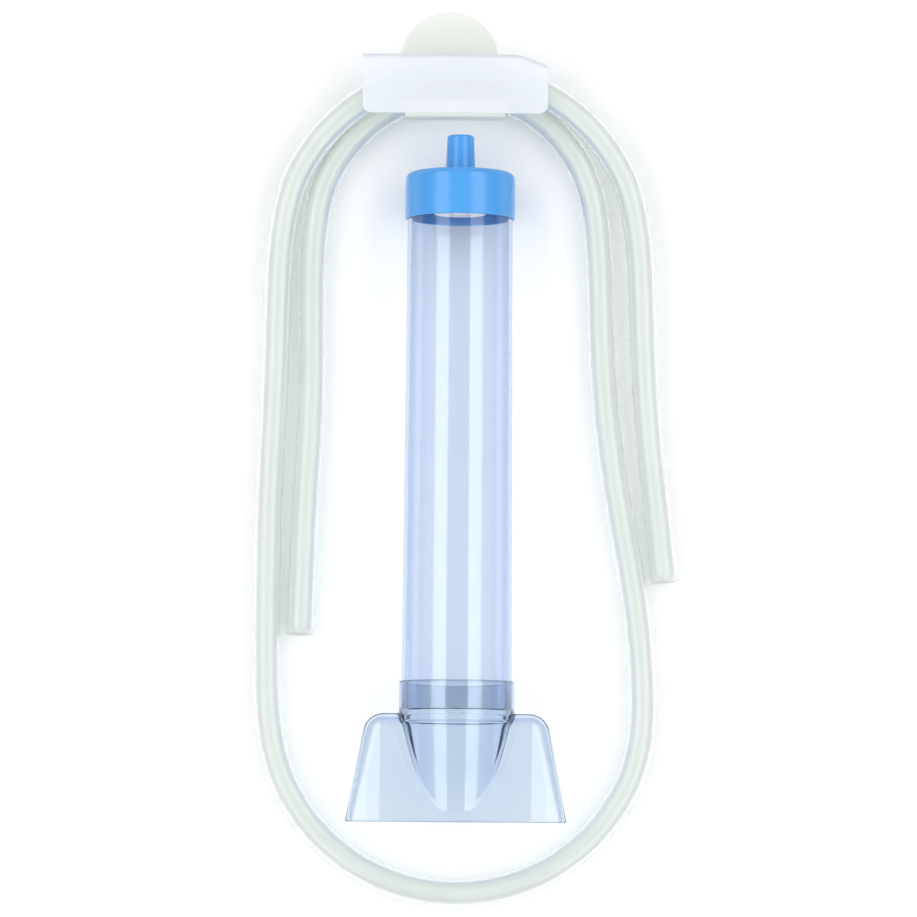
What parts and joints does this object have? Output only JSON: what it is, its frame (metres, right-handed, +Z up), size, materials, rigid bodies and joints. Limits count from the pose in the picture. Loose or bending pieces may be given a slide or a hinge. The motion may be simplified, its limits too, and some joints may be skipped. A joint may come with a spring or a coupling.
{
  "type": "gravel vacuum siphon",
  "caption": "Aquarium gravel vacuum: clear tube, fishtail nozzle, blue push-on cap with hose spigot and flap valve, and a coiled hose tied by a plastic hanger.",
  "frame": {"origin": "on the table, under the middle of the siphon from nozzle mouth to spigot tip", "axes": "+Z up, +Y along the tube towards the hose spigot, +X across the nozzle's wide mouth"},
  "size_m": [0.2021, 0.4284, 0.0542],
  "materials": {
    "clear_plastic": "clear, faint blue, glossy",
    "blue_plastic": "glossy moulded",
    "white_plastic": "moulded, satin",
    "flap_rubber": "soft, satin",
    "steel_pin": "drawn",
    "vinyl_hose": "translucent soft vinyl",
    "milky_plastic": "translucent soft polypropylene"
  },
  "bodies": {
    "tube": {"gravel_tube": "clear_plastic"},
    "nozzle": {"nozzle": "clear_plastic"},
    "cap": {"top_cap": "blue_plastic", "valve_sleeve": "white_plastic", "valve_seat": "white_plastic", "flap_pin": "steel_pin"},
    "flap": {"flap_valve": "flap_rubber"},
    "hose_coil": {"hose": "vinyl_hose", "hanger_strap": "milky_plastic", "hanger_plate": "milky_plastic"}
  },
  "joints": [
    {"name": "tube_pull_off", "type": "slide", "parent": "cap", "child": "tube", "axis": [0, -1, 0], "range_m": [0, 0.022]},
    {"name": "nozzle_pull_off", "type": "slide", "parent": "tube", "child": "nozzle", "axis": [0, -1, 0], "range_m": [0, 0.02]},
    {"name": "flap_swing", "type": "hinge", "parent": "cap", "child": "flap", "pos_m": [0, 0.1281, 0.0327], "axis": [1, 0, 0], "range_deg": [0, 70]},
    {"name": "hose_lift_off", "type": "slide", "parent": "cap", "child": "hose_coil", "axis": [0, 0, 1], "range_m": [0, 0.08]}
  ]
}
